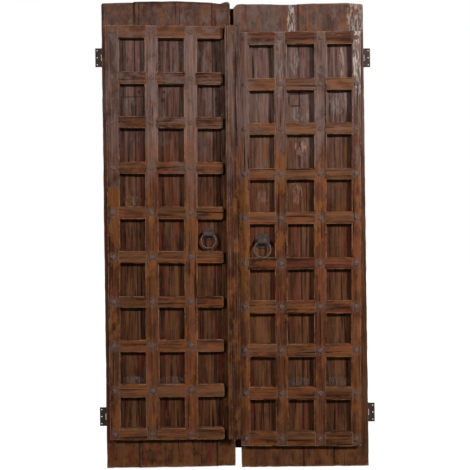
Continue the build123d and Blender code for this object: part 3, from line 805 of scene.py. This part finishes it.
def add_nail(bm, centre, rng):
    """A rounded head with a few hammered flats, its rim just sunk in the wood."""
    turn = rng.uniform(0, 2 * math.pi)
    flats = [(rng.uniform(0, 2 * math.pi), rng.uniform(*FLAT_DEPTHS)) for _ in range(NAIL_FLATS)]
    rings = []
    for ring in range(NAIL_RINGS):
        share = ring / NAIL_RINGS
        rise = math.sqrt(1 - (1 - share) ** 2) if ring else -NAIL_SINK
        verts = []
        for step in turns(NAIL_SIDES):
            angle = turn + step
            lobes = 1 + THREE_LOBES * math.sin(3 * angle + turn) + FIVE_LOBES * math.sin(5 * angle)
            radius = (1 - share) * lobes
            x = radius * math.cos(angle)
            z = radius * math.sin(angle)
            height = rise
            for direction, depth in flats:
                lean = x * math.cos(direction) + z * math.sin(direction)
                height = min(height, 1.0 - depth * max(0.0, lean + FLAT_START))
            spot = Vector((x * NAIL_RADIUS, -height * NAIL_HEIGHT, z * NAIL_RADIUS)) + centre
            verts.append(bm.verts.new(spot))
        rings.append(verts)
    skin(bm, rings, False)
    fan(bm, rings[-1], centre + Vector((0, -NAIL_CROWN * NAIL_HEIGHT, 0)))


for side in SIDES:
    node = "nail_heads_" + side
    rng = random.Random(node)
    bm = bmesh.new()
    for centre in NAIL_CENTRES[side]:
        add_nail(bm, centre, rng)
    new_piece("forged_" + node, bm, nail_iron, node)


# Ring pulls: domed plate, rolled eye with its strap clenched behind, and a forged ring

WIRE_R = 0.0037
RING_STEPS = 96
WIRE_STEPS = 20
RING_DENT = 0.09
RING_DENT_SCALE = 2.1
RING_DENT_ALONG = 3


def ring_frame(node):
    """Centre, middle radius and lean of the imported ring."""
    points = [vert.co for vert in NODES[node].data.vertices]
    centre = sum(points, Vector()) / len(points)
    low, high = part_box(node)
    width = high[0] - low[0]
    tall = high[2] - low[2]
    deep = high[1] - low[1]
    radius = width / 2 - WIRE_R
    lean = math.asin(min(1.0, max(0.0, (deep - 2 * WIRE_R) / (2 * radius)))) if tall > deep else 0.0
    return centre, radius, lean


def forged_ring(side):
    """A round ring whose wire is a little uneven."""
    node = "pull_ring_" + side
    centre, radius, lean = ring_frame(node)
    turn = Matrix.Rotation(-lean, 4, "X")
    bm = bmesh.new()
    loops = []
    for angle in turns(RING_STEPS):
        outward = Vector((math.sin(angle), 0, math.cos(angle)))
        loop = []
        for bend in turns(WIRE_STEPS):
            along = Vector((RING_DENT_ALONG * outward.x, math.cos(bend), RING_DENT_ALONG * outward.z))
            wire = WIRE_R * (1 - RING_DENT * unit_noise(along * RING_DENT_SCALE))
            spot = outward * (radius + wire * math.cos(bend)) + Vector((0, wire * math.sin(bend), 0))
            loop.append(bm.verts.new(centre + turn @ spot))
        loops.append(loop)
    skin(bm, loops, True)
    new_piece("forged_" + node, bm, ring_iron, node)


EYE_WALL = 0.0026
EYE_STEPS = 56
EYE_SLICES = 14
EYE_ROUND = 0.0008
EYE_DENT = 0.0006
EYE_DENT_ALONG = 90
EYE_DENT_AROUND = 2.3
EYE_DENT_SHIFT = 40
TAIL_HALF = 0.008
TAIL_THICK_HALF = 0.004
TAIL_OVERLAP = 0.003
CLENCH_TAPER = 0.007
CLENCH_TIP = 0.6
CLENCH_DEPTH = 0.0038


def eye_profile(half, middle_r, end_r, bore_r):
    """The section of the barrel's wall, as a closed run of (along, radius) points."""
    reach = half - EYE_ROUND
    outer = []
    for index in range(EYE_SLICES + 1):
        along = reach * (2 * index / EYE_SLICES - 1)
        outer.append((along, middle_r - (middle_r - end_r) * (along / half) ** 2))
    right = [(half, end_r - EYE_ROUND), (half, bore_r + EYE_ROUND / 2), (half - EYE_ROUND / 2, bore_r)]
    left = [(-along, radius) for along, radius in reversed(right)]
    return outer + right + [(0.0, bore_r)] + left


def add_strap_tail(bm, axis, start, end, half_tall):
    """The strap's tail through the leaf, and its end clenched flat behind."""
    tail = [
        (-TAIL_HALF, TAIL_THICK_HALF), (-TAIL_HALF, -TAIL_THICK_HALF),
        (TAIL_HALF, -TAIL_THICK_HALF), (TAIL_HALF, TAIL_THICK_HALF),
    ]
    shoulder = half_tall - CLENCH_TAPER
    tip = TAIL_HALF * CLENCH_TIP
    clench = [
        (-TAIL_HALF, shoulder), (-TAIL_HALF, -shoulder), (-tip, -half_tall), (tip, -half_tall),
        (TAIL_HALF, -shoulder), (TAIL_HALF, shoulder), (tip, half_tall), (-tip, half_tall),
    ]
    for outline, front, back in ((tail, start, end - TAIL_OVERLAP), (clench, end - CLENCH_DEPTH, end)):
        add_prism(bm, [(axis.x + x, axis.z + z) for x, z in outline], front, back)


def forged_eye(side):
    """A strap rolled into a barrel, its tail through the leaf and clenched behind."""
    node = "pull_eye_" + side
    low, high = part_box(node)
    end_points = [vert.co for vert in NODES[node].data.vertices if vert.co.x > high[0] - WELD]
    front = min(point.y for point in end_points)
    back = max(point.y for point in end_points)
    axis = Vector(((low[0] + high[0]) / 2, (front + back) / 2, (low[2] + high[2]) / 2))
    middle_r = axis.y - low[1]
    bore_r = middle_r - EYE_WALL
    bm = bmesh.new()
    loops = []
    for along, radius in eye_profile((high[0] - low[0]) / 2, middle_r, (back - front) / 2, bore_r):
        loop = []
        for angle in turns(EYE_STEPS):
            out = Vector((0, math.cos(angle), math.sin(angle)))
            around = Vector((along * EYE_DENT_ALONG, out.y * EYE_DENT_AROUND, out.z * EYE_DENT_AROUND))
            dent = unit_noise(around + axis * EYE_DENT_SHIFT)
            reach = radius if radius < bore_r + EYE_ROUND else radius - EYE_DENT * dent
            loop.append(bm.verts.new(axis + Vector((along, 0, 0)) + out * reach))
        loops.append(loop)
    skin(bm, loops, True)
    add_strap_tail(bm, axis, axis.y + middle_r - TAIL_OVERLAP, high[1], (high[2] - low[2]) / 2)
    bmesh.ops.recalc_face_normals(bm, faces=bm.faces[:])
    new_piece("forged_" + node, bm, eye_iron, node)


PLATE_STEPS = 72
PLATE_RINGS = 16
PLATE_RIM = 0.0013
PLATE_SEAT = 0.0016
PLATE_BACK_SHARE = 0.98
PLATE_UNEVEN = 0.035
PLATE_UNEVEN_SCALE = 2.6
PLATE_UNEVEN_SHIFT = 30
PLATE_DENT = 0.0005
PLATE_DENT_SCALE = 130


def forged_plate(side):
    """A low domed plate with a hammered face and an uneven rim."""
    node = "pull_plate_" + side
    low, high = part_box(node)
    centre = Vector(((low[0] + high[0]) / 2, 0, (low[2] + high[2]) / 2))
    radius = (high[0] - low[0]) / 2
    dome = high[1] - low[1] - PLATE_RIM
    bm = bmesh.new()
    loops = []
    shares = [(ring + 1) / PLATE_RINGS for ring in range(PLATE_RINGS)]
    rows = [(share, -PLATE_RIM - dome * (1 - share ** 2)) for share in shares]
    rows += [(1.0, 0.0), (PLATE_BACK_SHARE, PLATE_SEAT)]
    for share, height in rows:
        loop = []
        for angle in turns(PLATE_STEPS):
            out = Vector((math.cos(angle), 0, math.sin(angle)))
            uneven = unit_noise(out * PLATE_UNEVEN_SCALE + centre * PLATE_UNEVEN_SHIFT)
            rim = 1 - PLATE_UNEVEN * uneven
            spot = centre + out * radius * share * rim
            dent = unit_noise(spot * PLATE_DENT_SCALE) if height < 0 else 0.0
            spot.y = height + PLATE_DENT * dent
            loop.append(bm.verts.new(spot))
        loops.append(loop)
    skin(bm, loops, False)
    fan(bm, loops[0], centre + Vector((0, -PLATE_RIM - dome, 0)))
    fan(bm, loops[-1], centre + Vector((0, PLATE_SEAT, 0)))
    bmesh.ops.recalc_face_normals(bm, faces=bm.faces[:])
    new_piece("forged_" + node, bm, plate_iron, node)


for side in SIDES:
    forged_ring(side)
    forged_eye(side)
    forged_plate(side)

for node in sorted(NODES):
    if node.startswith("hinge"):
        for slot in NODES[node].material_slots:
            slot.material = hinge_iron


# Camera

CAMERA_DISTANCE = 2.6
CAMERA_HEIGHT = 1.0485
CAMERA_ROLL = 0.0131
VIEW_WIDTH = 2.115
SENSOR = 36.0

camera_data = bpy.data.cameras.new("camera")
camera_data.sensor_width = SENSOR
camera_data.lens = SENSOR * CAMERA_DISTANCE / VIEW_WIDTH
camera = bpy.data.objects.new("camera", camera_data)
bpy.context.scene.collection.objects.link(camera)
camera.matrix_world = (
    Matrix.Translation((0, -CAMERA_DISTANCE, CAMERA_HEIGHT))
    @ Matrix.Rotation(CAMERA_ROLL, 4, "Y")
    @ Matrix.Rotation(math.pi / 2, 4, "X")
)
bpy.context.scene.camera = camera


# Light

SUN_SPREAD = math.radians(7)
LAMP_SIZE = 0.3
AIM = Vector((0, 0, 1.05))
WORLD_FILL = 0.012


def place_lamp(name, data, place):
    """A lamp at a place, turned towards the door."""
    item = bpy.data.objects.new(name, data)
    bpy.context.scene.collection.objects.link(item)
    item.location = place
    item.rotation_euler = (AIM - Vector(place)).to_track_quat("-Z", "Y").to_euler()
    return item


def studio_lamp(name, place, watts):
    """A small soft box in front of the door, not seen itself."""
    data = bpy.data.lights.new(name, "AREA")
    data.energy = watts
    data.size = LAMP_SIZE
    place_lamp(name, data, place).visible_camera = False


def sun(name, place, strength):
    """A far soft lamp, for the back of the door."""
    data = bpy.data.lights.new(name, "SUN")
    data.energy = strength
    data.angle = SUN_SPREAD
    place_lamp(name, data, place)


studio_lamp("lamp_left", (-2.6, -2.6, 2.35), 78)
studio_lamp("lamp_right", (2.3, -2.6, 2.35), 134)
sun("lamp_rear_left", (-2.4, 2.6, 2.6), 2.6)
sun("lamp_rear_right", (2.4, 2.6, 2.6), 2.1)


def camera_white(tree, lit, white_strength):
    """One strength for what the camera sees, also in gloss and through glass, and another elsewhere."""
    path = tree.nodes.new("ShaderNodeLightPath")
    seen = path.outputs["Is Camera Ray"]
    for other in ("Is Glossy Ray", "Is Transmission Ray"):
        either = tree.nodes.new("ShaderNodeMath")
        either.operation = "MAXIMUM"
        tree.links.new(seen, either.inputs[0])
        tree.links.new(path.outputs[other], either.inputs[1])
        seen = either.outputs[0]
    choose = tree.nodes.new("ShaderNodeMapRange")
    tree.links.new(seen, choose.inputs["Value"])
    choose.inputs["To Min"].default_value = lit
    choose.inputs["To Max"].default_value = white_strength
    return choose.outputs["Result"]


world = bpy.data.worlds.new("world")
bpy.context.scene.world = world
world.use_nodes = True
background = world.node_tree.nodes["Background"]
background.inputs["Color"].default_value = (1, 1, 1, 1)
world.node_tree.links.new(camera_white(world.node_tree, WORLD_FILL, 1.0), background.inputs["Strength"])


# Floor

FLOOR_HALF = 14.0
FLOOR_GLOW = 0.9
FLOOR_GREY = srgb(96, 95, 94)
FLOOR_ROUGHNESS = 0.9

floor_mesh = bpy.data.meshes.new("floor")
floor_corners = [(x * FLOOR_HALF, y * FLOOR_HALF, 0) for x, y in ((-1, -1), (1, -1), (1, 1), (-1, 1))]
floor_mesh.from_pydata(floor_corners, [], [(0, 1, 2, 3)])
floor = bpy.data.objects.new("floor", floor_mesh)
bpy.context.scene.collection.objects.link(floor)
floor_shader = Shader("pale_floor")
floor_shader.bsdf.inputs["Emission Color"].default_value = (1, 1, 1, 1)
floor_glow = camera_white(floor_shader.tree, 0.0, FLOOR_GLOW)
floor_shader.tree.links.new(floor_glow, floor_shader.bsdf.inputs["Emission Strength"])
floor_mesh.materials.append(floor_shader.finish(FLOOR_GREY, FLOOR_ROUGHNESS))

bpy.context.scene.view_settings.view_transform = "Standard"
